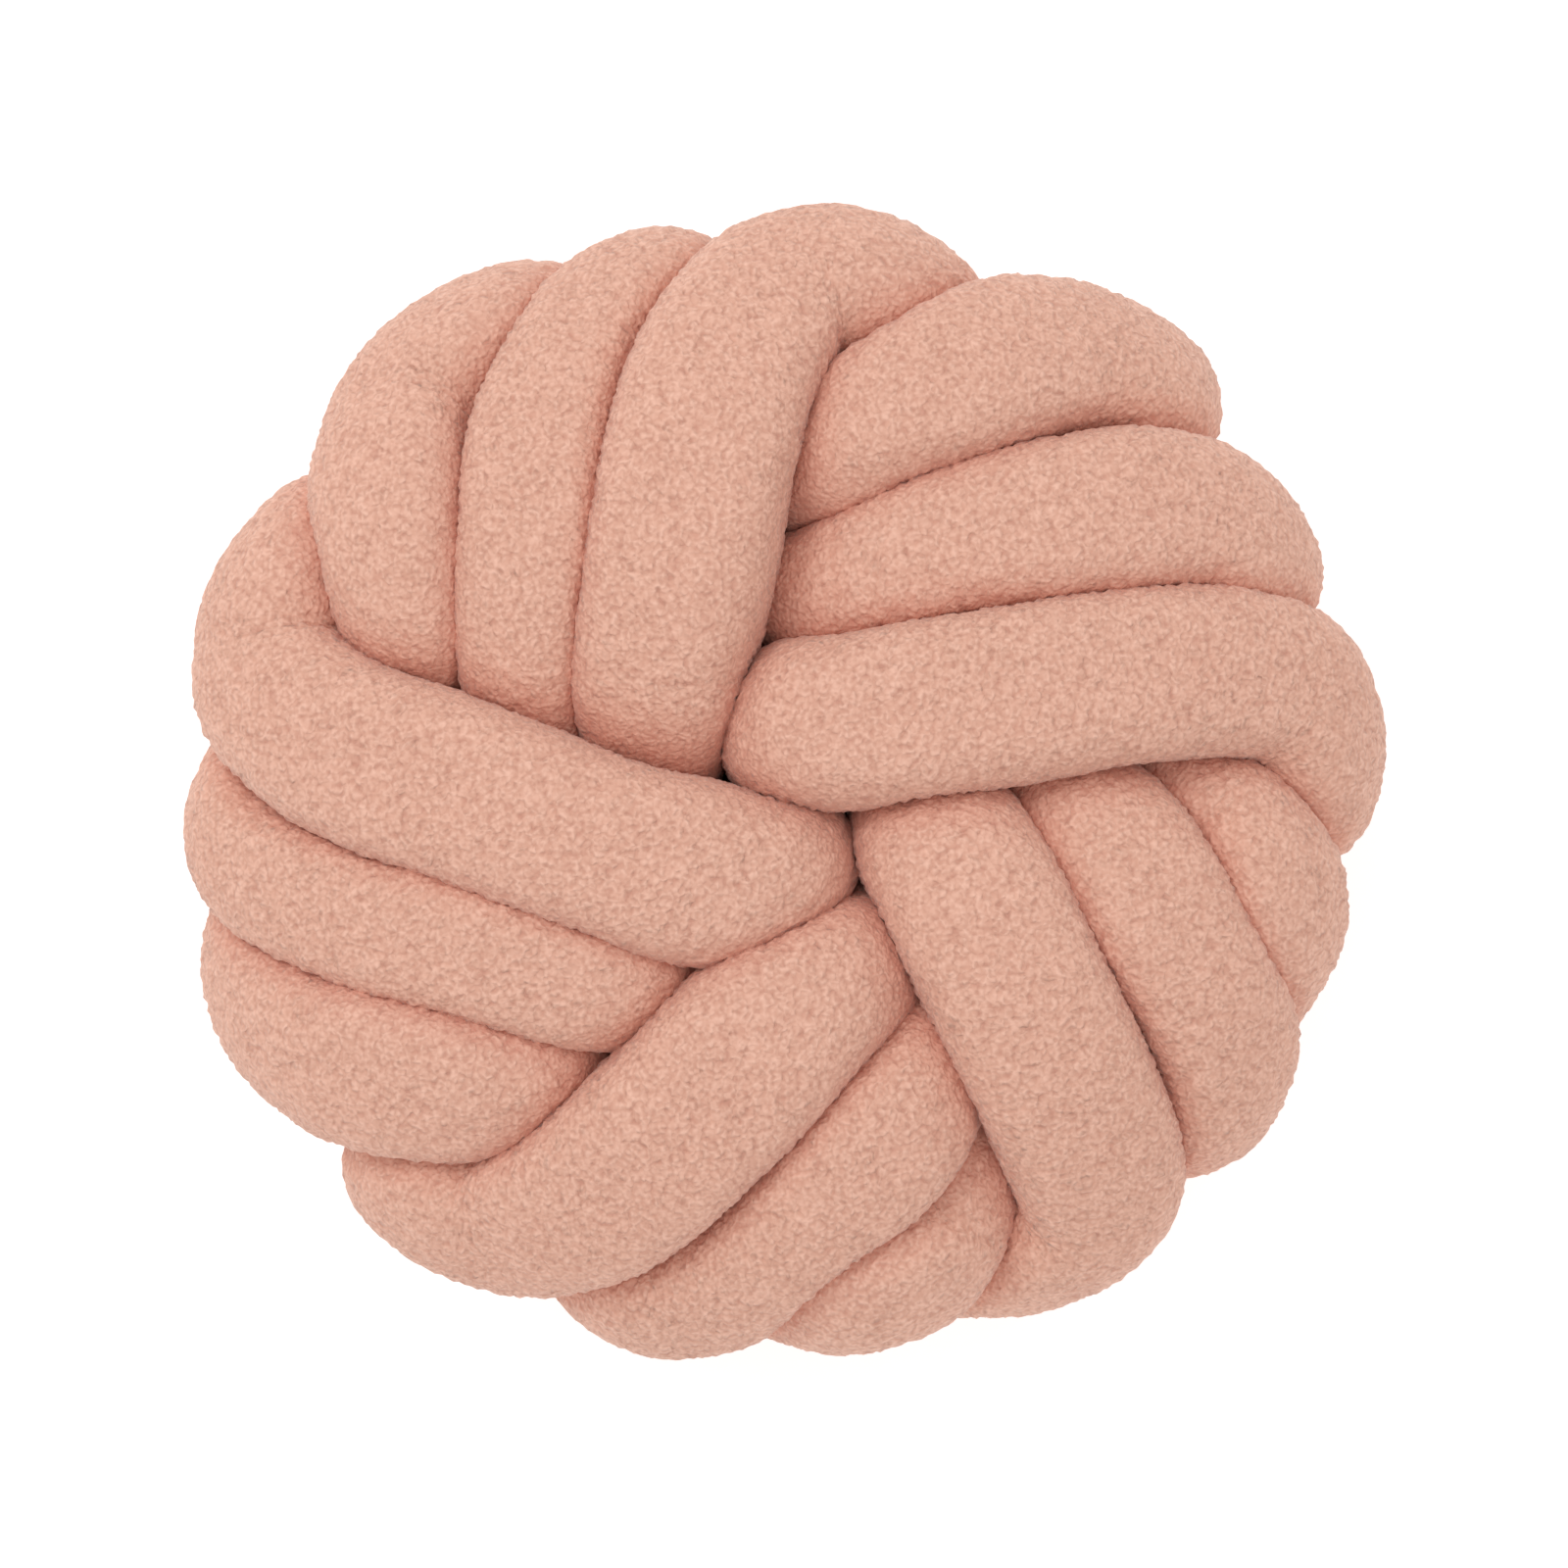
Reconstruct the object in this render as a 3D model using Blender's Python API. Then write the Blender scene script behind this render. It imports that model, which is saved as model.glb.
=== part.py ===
"""A round cushion knotted from one long stuffed tube of curly fleece.

The tube runs fifteen times over the front and fifteen times over the back, always in
threes. Seen from the front, five groups of three side-by-side passes lie like a
pinwheel, each group tucked under the next one anticlockwise, and the back is the same
pattern mirrored. Between two showing passes the tube goes hidden under one group.
Its two closed ends are tucked inside the knot.

The cushion lies on its back: the front faces +Z, the picture's up is +Y.
"""

import math

import bmesh
import bpy
import numpy as np

# ---------------------------------------------------------------- driving sizes, metres
ACROSS = 0.380            # widest measure of the knot, side to side (X)
ALONG = 0.359             # its measure at right angles to that (Y)
HEIGHT = 0.194            # front to back
TUBE_RADIUS = 0.0268      # the stuffed tube where nothing presses on it
HIDDEN_RADIUS = 0.0205    # the same tube squeezed inside the knot
LAYER = 0.042             # from a showing pass down to the hidden one beneath it
CONTACT_GAP = 0.0010      # kept between neighbouring passes where they press together
FLATTENED = 0.0060        # how far the weight flattens the passes that meet the surface
END_ROUNDING = 0.022      # length of the closed, rounded end of the tube

BACK_SMALLER = 0.090      # share by which the back is narrower than the front
SQUARENESS = 2.5          # roundness of the knot's side profile, 2 is an ellipse
RIM_ANGLE = 76.0          # angle a front pass keeps above till its end turns down
SWELL = 0.008             # how far a front pass may stand out of the shell
PASS_OFFSET = {1: 0.125, 2: 0.081, 3: 0.034}   # outer, middle, inner pass from the centre
BACK_TURN = 108.0         # degrees round the knot from a front pass to the next back pass
HEADING_TO_FOOT = -90.0   # from a pass's heading to its point nearest the centre

SIDES = 12                # facets round the tube
SHOWN_STEP = 0.0192       # ring spacing along showing passes
HIDDEN_STEP = 0.036       # and along hidden ones
ROUTE_STEP = 0.010        # spacing of the points while the route is eased

# Groups of the front in the order the tube visits them: heading of the passes in
# degrees clockwise from +Y, then the plan route of each pass in millimetres from the
# middle, from where it comes out from under its neighbour to where it turns down.
GROUP_ORDER = ("north", "south_west", "east", "west", "south_east")
FRONT_ROUTES = {
    "north": (13.3, {
        1: ((-103, 27), (-110, 46), (-114, 66), (-115, 88), (-111, 106), (-101, 119), (-87, 128),
            (-71, 131)),
        2: ((-81, 12), (-78, 30), (-75, 60), (-72, 90), (-66, 118), (-56, 135), (-43, 143),
            (-28, 146)),
        3: ((-43, 2), (-40, 30), (-33, 60), (-26, 90), (-16, 119), (-5, 136), (10, 145), (24, 140),
            (35, 131)),
    }),
    "east": (81.0, {
        1: ((0, 86), (15, 100), (36, 113), (61, 121), (84, 123), (101, 117), (110, 105)),
        2: ((-6, 54), (30, 65), (76, 74), (106, 78), (124, 76), (134, 67), (136, 56)),
        3: ((-14, 15), (0, 16), (20, 17), (61, 24), (106, 31), (132, 33), (148, 28), (155, 15),
            (154, 1)),
    }),
    "south_east": (152.8, {
        1: ((115, 10), (128, -6), (139, -22), (143, -40), (138, -57)),
        2: ((77, 8), (89, -11), (105, -33), (122, -57), (129, -75), (128, -88), (120, -98)),
        3: ((36, 2), (46, -16), (57, -37), (70, -64), (83, -91), (91, -110), (93, -125), (89, -138)),
    }),
    "south_west": (221.2, {
        1: ((70, -103), (54, -123), (36, -137), (21, -143), (8, -144)),
        2: ((60, -71), (47, -81), (31, -101), (14, -124), (-6, -142), (-28, -151), (-48, -149)),
        3: ((30, -34), (14, -53), (-1, -71), (-21, -91), (-42, -110), (-63, -124), (-84, -127),
            (-98, -121), (-110, -108)),
    }),
    "west": (289.3, {
        1: ((-49, -86), (-73, -85), (-97, -85), (-119, -83), (-137, -74), (-148, -59)),
        2: ((-18, -65), (-36, -62), (-61, -57), (-91, -50), (-121, -42), (-144, -33), (-159, -21),
            (-160, -8)),
        3: ((34, -50), (9, -38), (-28, -28), (-61, -18), (-91, -5), (-120, 6), (-140, 18),
            (-151, 30), (-151, 43), (-144, 56), (-133, 65)),
    }),
}
# Thickness of the outer, middle and inner pass of each group against the free tube: some
# are pressed down between their neighbours and some swell over them.
FULLNESS = {
    "north": (1.03, 0.88, 1.10),
    "east": (1.06, 1.00, 0.99),
    "south_east": (0.97, 0.98, 1.04),
    "south_west": (1.10, 0.93, 1.08),
    "west": (1.12, 0.87, 1.04),
}

# The leg that brings each pass in under its neighbour, then the showing leg of an even
# pass, used on the back: azimuth from the pass's nearest point to the centre, angle down
# from the middle of the face (90 is the rim), and depth (0 showing, 1 a layer down).
# An angle of None follows the straight pass at its own offset.
HIDDEN_LEG = {
    1: ((-4, 84, 0.75), (3, 74, 1.0), (9, 64, 1.0)),
    2: ((-41, 90, 0.5), (-36, 74, 0.9), (-29, 58, 1.0), (-17, 43, 1.0), (-3, 36, 0.95)),
    3: ((-54, 90, 0.25), (-51, 76, 0.45), (-48, 64, 0.8), (-44, 46, 1.0), (-37, 30, 1.0),
        (-26, 19, 1.0), (-13, None, 0.9)),
}
SHOWN_LEG = {
    1: ((17, 54, 0.4), (26, None, 0.0), (35, 62, 0.0), (44, 76, 0.15)),
    2: ((14, None, 0.3), (30, None, 0.0), (45, None, 0.0), (57, 60, 0.0), (63, 74, 0.2)),
    3: ((10, None, 0.3), (45, None, 0.0), (65, None, 0.0), (74, 47, 0.0), (81, 60, 0.0),
        (88, 68, 0.1), (95, 76, 0.4)),
}
COMING_OUT = (0.95, 0.5, 0.12)          # depths of a front pass where its route starts
TURNED_DOWN = {1: (84, 0.0), 2: (80, 0.1), 3: (76, 0.25)}   # least angle, and depth, where it ends

RIM = ACROSS / 2 - TUBE_RADIUS      # radius of the tube's centre line round the rim
CROWN = HEIGHT / 2 - TUBE_RADIUS    # its height over the middle plane
OVAL = ALONG / ACROSS               # the knot is a little short of round


def shell_point(azimuth, angle, depth):
    """Point of the rounded shell, a number of layers down from the showing passes."""
    across = abs(math.sin(math.radians(angle))) ** (2 / SQUARENESS)
    up = abs(math.cos(math.radians(angle))) ** (2 / SQUARENESS)
    turned_over = min(max((angle - 78) / 30, 0), 1)
    radius = (RIM - LAYER * depth) * across * (1 - BACK_SMALLER * turned_over)
    height = (CROWN - LAYER * depth) * math.copysign(up, 90 - angle)
    turn = math.radians(azimuth)
    return radius * math.sin(turn), OVAL * radius * math.cos(turn), height


def shell_angle(radius, depth):
    """Angle down from the middle of the face at a plan radius."""
    ratio = min(1.0, radius / (RIM - LAYER * depth))
    return math.degrees(math.asin(ratio ** (SQUARENESS / 2)))


def leg_points(leg, ply, foot, back):
    """Points of a leg given by azimuth, angle and depth, mirrored for the back."""
    points = []
    for azimuth, angle, depth in leg[ply]:
        if angle is None:
            radius = PASS_OFFSET[ply] / math.cos(math.radians(azimuth))
            angle = shell_angle(radius, depth)
        place = shell_point(foot + azimuth, 180 - angle if back else angle, depth)
        points.append((*place, depth, 1.0))
    return points


def front_points(route, ply, fullness):
    """Points of a showing front pass, lifted from its plan route onto the shell."""
    points = []
    for index, (x, y) in enumerate(route):
        radius = math.hypot(x, y / OVAL) / 1000
        azimuth = math.degrees(math.atan2(x, y / OVAL))
        depth, least = 0.0, 0
        if index < len(COMING_OUT):
            depth = COMING_OUT[index]
        if index == len(route) - 1:
            least, depth = TURNED_DOWN[ply]
        angle = max(min(shell_angle(radius, depth), RIM_ANGLE), least)
        height = shell_point(azimuth, angle, depth)[2]
        inward = min(1.0, (RIM + SWELL - LAYER * depth) / radius)
        points.append((x * inward / 1000, y * inward / 1000, height, depth, fullness))
    return points


def between(first, second):
    """Azimuth halfway between two that differ by less than a half turn."""
    return first + ((second - first + 180) % 360 - 180) / 2


def tube_route():
    """Route of the whole tube: x, y, z, depth and fullness at each of its points."""
    route = []
    for ply in (1, 2, 3):
        for index, group in enumerate(GROUP_ORDER):
            heading, plans = FRONT_ROUTES[group]
            foot = heading + HEADING_TO_FOOT
            following = FRONT_ROUTES[GROUP_ORDER[(index + 1) % 5]][0] + HEADING_TO_FOOT
            way_in = leg_points(HIDDEN_LEG, ply, foot, back=False)
            if index == 0:
                # Here the tube starts, and later moves over by one pass.
                way_in = way_in[1:]
            route += way_in
            route += front_points(plans[ply], ply, FULLNESS[group][ply - 1])
            back_foot = between(foot + BACK_TURN, following - BACK_TURN)
            route += leg_points(HIDDEN_LEG, 4 - ply, back_foot, back=True)
            route += leg_points(SHOWN_LEG, 4 - ply, back_foot, back=True)
    last_foot = FRONT_ROUTES[GROUP_ORDER[0]][0] + HEADING_TO_FOOT
    route += leg_points(HIDDEN_LEG, 3, last_foot, back=False)[:4]
    return np.array(route)


def smooth_curve(rows, steps=10):
    """Centripetal Catmull-Rom curve through the rows, spaced by their places."""
    padded = np.vstack((2 * rows[0] - rows[1], rows, 2 * rows[-1] - rows[-2]))
    curve = []
    for i in range(len(rows) - 1):
        p0, p1, p2, p3 = padded[i:i + 4]
        t1 = np.linalg.norm((p1 - p0)[:3]) ** 0.5
        t2 = t1 + np.linalg.norm((p2 - p1)[:3]) ** 0.5
        t3 = t2 + np.linalg.norm((p3 - p2)[:3]) ** 0.5
        t = t1 + (t2 - t1) * np.arange(steps)[:, None] / steps
        a1 = (t1 - t) / t1 * p0 + t / t1 * p1
        a2 = (t2 - t) / (t2 - t1) * p1 + (t - t1) / (t2 - t1) * p2
        a3 = (t3 - t) / (t3 - t2) * p2 + (t - t2) / (t3 - t2) * p3
        b1 = (t2 - t) / t2 * a1 + t / t2 * a2
        b2 = (t3 - t) / (t3 - t1) * a2 + (t - t1) / (t3 - t1) * a3
        curve.append((t2 - t) / (t2 - t1) * b1 + (t - t1) / (t2 - t1) * b2)
    return np.vstack(curve + [rows[-1:]])


def lengths_along(rows):
    """Distance of each row's place from the start of the line."""
    steps = np.linalg.norm(np.diff(rows[:, :3], axis=0), axis=1)
    return np.concatenate(([0.0], np.cumsum(steps)))


def sample(rows, distances):
    """The line's rows read at the given distances from its start."""
    along = lengths_along(rows)
    return np.stack([np.interp(distances, along, column) for column in rows.T], axis=1)


def squeeze(depth):
    """How far a pass is squeezed inside the knot, 0 to 1."""
    part = np.clip((depth - 0.5) / 0.5, 0, 1)
    return part * part * (3 - 2 * part)


def pass_radius(rows):
    """Free radius of the tube at each row, by its depth and fullness."""
    full = TUBE_RADIUS * rows[:, 4]
    return full + (HIDDEN_RADIUS - full) * squeeze(rows[:, 3])


def keep_inside(points, depth):
    """Bring points that have moved outside the shell of their depth back onto it."""
    going_under = np.clip((depth - 0.3) / 0.3, 0, 1)
    inward = (0.3 * going_under + 0.5 * squeeze(depth)) * LAYER - SWELL * (1 - going_under)
    flat = np.hypot(points[:, 0], points[:, 1] / OVAL) / (RIM - inward)
    up = np.abs(points[:, 2] / (CROWN - inward))
    level = (flat ** SQUARENESS + up ** SQUARENESS) ** (1 / SQUARENESS)
    return points / np.maximum(level, 1)[:, None]


def neighbours(points, reach):
    """Pairs of points closer than the reach that aren't the same stretch of tube."""
    gaps = np.linalg.norm(points[:, None] - points[None], axis=2)
    first, second = np.nonzero(np.triu(gaps < reach))
    apart = (second - first) * ROUTE_STEP > 3.4 * TUBE_RADIUS
    return first[apart], second[apart]


def ease_apart(rows, rounds=160):
    """Spread the passes until each has room, moving the hidden legs the most."""
    points, depth = rows[:, :3], rows[:, 3]
    home = points.copy()
    reach = pass_radius(rows) - 0.002
    looseness = np.clip((depth - 0.3) / 0.5, 0, 1)[:, None]
    freedom = 0.06 + 0.94 * looseness
    for turn in range(rounds):
        if turn % 10 == 0:
            first, second = neighbours(points, 3 * TUBE_RADIUS)
        step = points[second] - points[first]
        gap = np.maximum(np.linalg.norm(step, axis=1), 1e-6)
        lack = np.maximum(reach[first] + reach[second] - gap, 0)
        push = step * (0.5 * lack / gap)[:, None]
        moves = np.zeros_like(points)
        counts = np.ones(len(points))
        np.add.at(moves, first, -push)
        np.add.at(moves, second, push)
        np.add.at(counts, first, lack > 0)
        np.add.at(counts, second, lack > 0)
        points = points + 1.6 * freedom * moves / counts[:, None]
        points[1:-1] += 0.25 * freedom[1:-1] * (0.5 * (points[:-2] + points[2:]) - points[1:-1])
        points += (0.15 - 0.14 * looseness) * (home - points)
        points = keep_inside(points, depth)
    return np.hstack((points, rows[:, 3:]))


def ring_distances(rows):
    """Distances of the tube's rings along the line, closer where it shows."""
    along = lengths_along(rows)
    hidden = squeeze(rows[:, 3])
    distances = [0.0, 0.12 * END_ROUNDING, 0.45 * END_ROUNDING]
    at = END_ROUNDING
    while at < along[-1] - END_ROUNDING:
        distances.append(at)
        at += SHOWN_STEP + (HIDDEN_STEP - SHOWN_STEP) * np.interp(at, along, hidden)
    ends = [along[-1] - part * END_ROUNDING for part in (1.0, 0.45, 0.12, 0.0)]
    return np.array(distances + ends)


def tube_radii(distances, line):
    """Free radius of the tube at each ring, rounded off at its two ends."""
    from_end = np.minimum(distances, distances[-1] - distances)
    inward = 1 - np.clip(from_end / END_ROUNDING, 0.008, 1)
    return pass_radius(line) * np.sqrt(1 - inward ** 2)


def swept_tube(name, line, radii):
    """Round tube along the line, as the mesh of a bevelled curve with closed ends."""
    curve = bpy.data.curves.new(name, "CURVE")
    curve.dimensions = "3D"
    curve.bevel_depth = 1.0
    curve.bevel_resolution = SIDES // 2 - 2
    spline = curve.splines.new("POLY")
    spline.points.add(len(line) - 1)
    for point, place, radius in zip(spline.points, line, radii):
        point.co = (*place, 1.0)
        point.radius = radius
    guide = bpy.data.objects.new(name + "_line", curve)
    bpy.context.scene.collection.objects.link(guide)
    bpy.context.view_layer.update()
    evaluated = guide.evaluated_get(bpy.context.evaluated_depsgraph_get())
    mesh = bpy.data.meshes.new_from_object(evaluated)
    mesh.name = name
    bpy.data.objects.remove(guide)
    bpy.data.curves.remove(curve)
    shape = bmesh.new()
    shape.from_mesh(mesh)
    bmesh.ops.holes_fill(shape, edges=[edge for edge in shape.edges if edge.is_boundary])
    bmesh.ops.recalc_face_normals(shape, faces=shape.faces)
    shape.to_mesh(mesh)
    shape.free()
    return mesh


def press_together(rings, distances, radii, line, rows):
    """Draw each ring in to the planes midway to the passes around it."""
    along = lengths_along(rows)
    row_radii = pass_radius(rows)
    for index, (centre, radius) in enumerate(zip(line, radii)):
        step = rows[:, :3] - centre
        gap = np.linalg.norm(step, axis=1)
        away = np.abs(along - distances[index]) / TUBE_RADIUS
        near = (gap < 2.2 * TUBE_RADIUS) & (away > 4.4)
        if not near.any():
            continue
        toward = step[near] / gap[near, None]
        middle = (gap[near] ** 2 + radius ** 2 - row_radii[near] ** 2) / (2 * gap[near])
        middle = np.maximum(middle - CONTACT_GAP / 2, 0.002)
        # The tube presses on itself only past its own bends.
        middle /= np.clip((away[near] - 4.4) / 3, 0.02, 1)
        spokes = rings[index] - centre
        reach = np.linalg.norm(spokes, axis=1)
        facing = np.maximum((spokes / reach[:, None]) @ toward.T, 1e-4)
        limit = (middle / facing).min(axis=1)
        # A high power keeps the pressed faces flat and turns softly into the round.
        kept = (1 + (reach / limit) ** 16) ** (-1 / 16)
        rings[index] = centre + spokes * kept[:, None]
    return rings


def cushion():
    """The knotted tube as one closed solid, lying flat on its back."""
    rows = smooth_curve(tube_route())
    total = lengths_along(rows)[-1]
    rows = sample(rows, np.linspace(0, total, int(round(total / ROUTE_STEP)) + 1))
    rows = ease_apart(rows)

    distances = ring_distances(rows)
    line = sample(rows, distances)
    radii = tube_radii(distances, line)
    line = line[:, :3]
    mesh = swept_tube("knot_cushion", line, radii)

    places = np.empty(len(mesh.vertices) * 3)
    mesh.vertices.foreach_get("co", places)
    rings = places.reshape(len(line), -1, 3)
    rings = press_together(rings, distances, radii, line, rows)

    # The lowest passes flatten on the surface, which is then at z = 0, with the knot's
    # middle over the origin.
    surface = rings[:, :, 2].min() + FLATTENED
    rings[:, :, 2] = np.maximum(rings[:, :, 2] - surface, 0)
    rings[:, :, :2] -= (rings.max(axis=(0, 1)) + rings.min(axis=(0, 1)))[:2] / 2
    mesh.vertices.foreach_set("co", rings.reshape(-1))
    mesh.update()
    mesh.shade_smooth()
    print("tube length", round(float(distances[-1]), 2), "m,", len(line), "rings")
    return mesh


def fleece():
    """Dusty pink curly fleece."""
    material = bpy.data.materials.new("curly_fleece")
    material.use_nodes = True
    shader = material.node_tree.nodes["Principled BSDF"]
    shader.inputs["Base Color"].default_value = (0.76, 0.42, 0.32, 1.0)
    shader.inputs["Roughness"].default_value = 0.95
    shader.inputs["Metallic"].default_value = 0.0
    return material


def main():
    for thing in list(bpy.data.objects):
        bpy.data.objects.remove(thing)
    mesh = cushion()
    mesh.materials.append(fleece())
    bpy.context.scene.collection.objects.link(bpy.data.objects.new("knot_cushion", mesh))


main()
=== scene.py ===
import math

import bmesh
import bpy
import numpy as np
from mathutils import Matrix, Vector


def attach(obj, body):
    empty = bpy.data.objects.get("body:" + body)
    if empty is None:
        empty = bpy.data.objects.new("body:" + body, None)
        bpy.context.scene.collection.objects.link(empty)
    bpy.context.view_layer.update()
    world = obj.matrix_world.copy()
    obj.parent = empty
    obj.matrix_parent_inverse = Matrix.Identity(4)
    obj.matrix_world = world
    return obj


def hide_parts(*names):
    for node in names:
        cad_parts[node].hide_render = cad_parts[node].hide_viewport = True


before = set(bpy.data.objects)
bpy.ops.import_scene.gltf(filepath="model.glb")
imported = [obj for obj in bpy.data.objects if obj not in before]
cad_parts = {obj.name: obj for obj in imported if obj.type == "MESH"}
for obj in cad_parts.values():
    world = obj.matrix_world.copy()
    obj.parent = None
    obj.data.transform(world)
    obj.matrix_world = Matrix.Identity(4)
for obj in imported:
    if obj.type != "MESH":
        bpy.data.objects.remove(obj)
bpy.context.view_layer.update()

knot = {
    "across": 0.380,          # side to side
    "along": 0.359,           # bottom to top in the picture
    "height": 0.194,
    "tubeRadius": 0.0268,     # the stuffed tube where nothing presses on it
    "hiddenRadius": 0.0205,   # squeezed inside the knot
    "layer": 0.042,           # from a showing pass down to the hidden one beneath it
    "contactGap": -0.0034,    # the pile of neighbouring passes meshes by this much
    "creaseShade": 0.45,           # how far up its sides a pass gets painted shade from its neighbours
    "packed": 3.8,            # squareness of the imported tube's section, 2 is round
    "rimStarts": 0.7,         # share of the way out where the outer side turns round again
    "flattened": 0.0060,      # how far the weight flattens the lowest passes
    "endRounding": 0.022,     # length of the tube's closed, rounded end
    "backSmaller": 0.090,     # share by which the back is narrower than the front
    "squareness": 2.5,        # of the side profile, 2 is an ellipse
    "rimAngle": 76.0,         # angle a front pass keeps above till its end turns down
    "swell": 0.008,           # how far a front pass may stand out of the shell
    "passOffset": {1: 0.125, 2: 0.081, 3: 0.034},   # outer, middle, inner pass from the centre
    "backTurn": 108.0,        # degrees from a front pass on to the next back pass
    "headingToFoot": -90.0,   # from a pass's heading to its point nearest the centre
    "routeStep": 0.010,       # spacing of the points while the route is eased
    "easings": 160,           # rounds that give the passes room
    "easedOverlap": 0.002,    # left to each pass when that is done, and pressed flat later
    "ownBend": 3.4,           # in tube radii along the tube, nearer than this is its own bend
    "shownFreedom": 0.06,     # how far a showing pass gives way, a hidden one gives way fully
    "push": 1.6,
    "straighten": 0.25,
    "pullHome": 0.15,         # back to the planned route each round, where the pass shows
    "pullHomeLess": 0.14,     # and this much less where it is hidden
    "underInset": 0.3,        # in layers, inside the shell where a pass starts to go under
    "hiddenInset": 0.5,       # and as much more where it is hidden
    "pressReach": 2.2,        # in tube radii, how far off a pass still presses
    "pressFrom": 4.4,         # in tube radii along the tube, where a pass starts to press itself
    "pressFades": 3,
    "leastWidth": 0.002,      # left of a pressed side, from the middle of the tube
    "pressCorner": 16,        # sharpness of the corner round a pressed side
    "nickRounds": 3,
    "evenings": 10,           # rounds of smoothing, which take the folds out of tight bends
    "unfoldings": 60,         # rounds that draw out what is still folded
    "tightest": 0.3,          # closest the rings may come on the inner side, against the middle
    "sides": 48,              # round the tube, before the subdivision
    "shownStep": 0.0028,      # ring spacing where the tube shows, before the subdivision
    "hiddenStep": 0.008,
}
rim = knot["across"] / 2 - knot["tubeRadius"]
crown = knot["height"] / 2 - knot["tubeRadius"]
oval = knot["along"] / knot["across"]

# Groups of the front in the order the tube visits them: heading in degrees clockwise from
# +Y, then the plan route of each pass in millimetres from the middle of the cushion.
groupOrder = ("north", "south_west", "east", "west", "south_east")
frontRoutes = {
    "north": (13.3, {
        1: ((-103, 27), (-110, 46), (-114, 66), (-115, 88), (-111, 106), (-101, 119), (-87, 128),
            (-71, 131)),
        2: ((-81, 12), (-78, 30), (-75, 60), (-72, 90), (-66, 118), (-56, 135), (-43, 143),
            (-28, 146)),
        3: ((-43, 2), (-40, 30), (-33, 60), (-26, 90), (-16, 119), (-5, 136), (10, 145), (24, 140),
            (35, 131)),
    }),
    "east": (81.0, {
        1: ((0, 86), (15, 100), (36, 113), (61, 121), (84, 123), (101, 117), (110, 105)),
        2: ((-6, 54), (30, 65), (76, 74), (106, 78), (124, 76), (134, 67), (136, 56)),
        3: ((-14, 15), (0, 16), (20, 17), (61, 24), (106, 31), (132, 33), (148, 28), (155, 15),
            (154, 1)),
    }),
    "south_east": (152.8, {
        1: ((115, 10), (128, -6), (139, -22), (143, -40), (138, -57)),
        2: ((77, 8), (89, -11), (105, -33), (122, -57), (129, -75), (128, -88), (120, -98)),
        3: ((36, 2), (46, -16), (57, -37), (70, -64), (83, -91), (91, -110), (93, -125),
            (89, -138)),
    }),
    "south_west": (221.2, {
        1: ((70, -103), (54, -123), (36, -137), (21, -143), (8, -144)),
        2: ((60, -71), (47, -81), (31, -101), (14, -124), (-6, -142), (-28, -151), (-48, -149)),
        3: ((30, -34), (14, -53), (-1, -71), (-21, -91), (-42, -110), (-63, -124), (-84, -127),
            (-98, -121), (-110, -108)),
    }),
    "west": (289.3, {
        1: ((-49, -86), (-73, -85), (-97, -85), (-119, -83), (-137, -74), (-148, -59)),
        2: ((-18, -65), (-36, -62), (-61, -57), (-91, -50), (-121, -42), (-144, -33), (-159, -21),
            (-160, -8)),
        3: ((34, -50), (9, -38), (-28, -28), (-61, -18), (-91, -5), (-120, 6), (-140, 18),
            (-151, 30), (-151, 43), (-144, 56), (-133, 65)),
    }),
}
# Thickness of the outer, middle and inner pass of each group against the free tube: some
# are pressed down between their neighbours and some swell over them.
fullness = {
    "north": (1.03, 0.88, 1.10),
    "east": (1.06, 1.00, 0.99),
    "south_east": (0.97, 0.98, 1.04),
    "south_west": (1.10, 0.93, 1.08),
    "west": (1.12, 0.87, 1.04),
}

# The leg that brings a pass in under its neighbour, then the showing leg of a back pass:
# azimuth from the pass's nearest point to the centre, angle down from the middle of the
# face (90 is the rim) and depth (0 showing, 1 a layer down). None follows the straight pass.
hiddenLeg = {
    1: ((-4, 84, 0.75), (3, 74, 1.0), (9, 64, 1.0)),
    2: ((-41, 90, 0.5), (-36, 74, 0.9), (-29, 58, 1.0), (-17, 43, 1.0), (-3, 36, 0.95)),
    3: ((-54, 90, 0.25), (-51, 76, 0.45), (-48, 64, 0.8), (-44, 46, 1.0), (-37, 30, 1.0),
        (-26, 19, 1.0), (-13, None, 0.9)),
}
shownLeg = {
    1: ((17, 54, 0.4), (26, None, 0.0), (35, 62, 0.0), (44, 76, 0.15)),
    2: ((14, None, 0.3), (30, None, 0.0), (45, None, 0.0), (57, 60, 0.0), (63, 74, 0.2)),
    3: ((10, None, 0.3), (45, None, 0.0), (65, None, 0.0), (74, 47, 0.0), (81, 60, 0.0),
        (88, 68, 0.1), (95, 76, 0.4)),
}
comingOut = (0.95, 0.5, 0.12)                            # depths where a front route starts
turnedDown = {1: (84, 0.0), 2: (80, 0.1), 3: (76, 0.25)}   # least angle, and depth, where it ends


def shellPoint(azimuth, angle, depth):
    # a point of the rounded shell, a number of layers down from the showing passes
    across = abs(math.sin(math.radians(angle))) ** (2 / knot["squareness"])
    up = abs(math.cos(math.radians(angle))) ** (2 / knot["squareness"])
    turnedOver = min(max((angle - 78) / 30, 0), 1)
    radius = (rim - knot["layer"] * depth) * across * (1 - knot["backSmaller"] * turnedOver)
    height = (crown - knot["layer"] * depth) * math.copysign(up, 90 - angle)
    turn = math.radians(azimuth)
    return radius * math.sin(turn), oval * radius * math.cos(turn), height


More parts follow.
